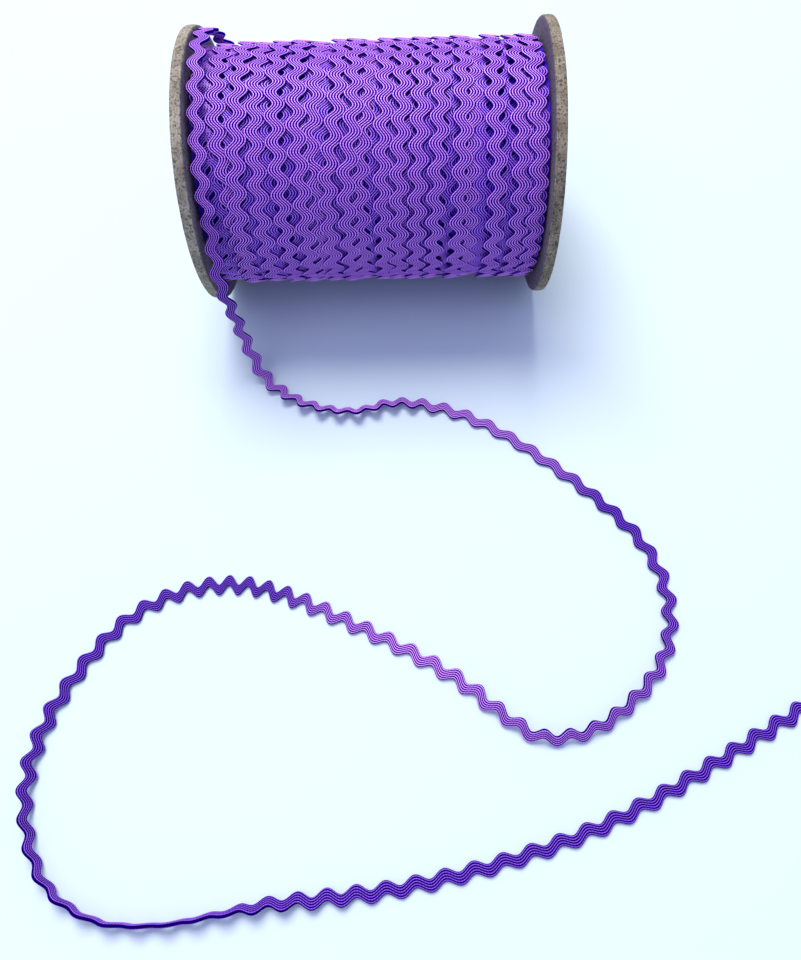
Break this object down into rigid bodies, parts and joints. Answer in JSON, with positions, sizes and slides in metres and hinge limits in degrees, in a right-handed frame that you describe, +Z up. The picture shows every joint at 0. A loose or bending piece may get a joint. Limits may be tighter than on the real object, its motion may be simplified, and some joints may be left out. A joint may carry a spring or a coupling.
{
  "type": "roll of ric rac",
  "caption": "Wavy braid trimming wound full on a short spool between two round board flanges, with a long free end that runs out over the surface.",
  "frame": {"origin": "centre of the spool's footprint, on the surface that the two flanges stand on", "axes": "+X along the spool's axis, from the side where the end leaves to the other flange; -Y is the front, where the end comes off; +Z is up"},
  "size_m": [0.2132, 0.2431, 0.0759],
  "materials": {
    "flange_board_left": "matt grey board, speckled, with a worn layered rim",
    "flange_board_right": "matt tan board, speckled, with a worn layered rim",
    "ric_rac_wound": "violet braid of fine cords with a soft sheen",
    "ric_rac_loose": "violet braid of fine cords with a soft sheen",
    "ric_rac_tail": "violet braid of fine cords with a soft sheen"
  },
  "bodies": {
    "root": {"flange_left": "flange_board_left", "flange_right": "flange_board_right", "winding": "ric_rac_wound", "last_turn": "ric_rac_loose", "tail": "ric_rac_tail"}
  },
  "joints": []
}
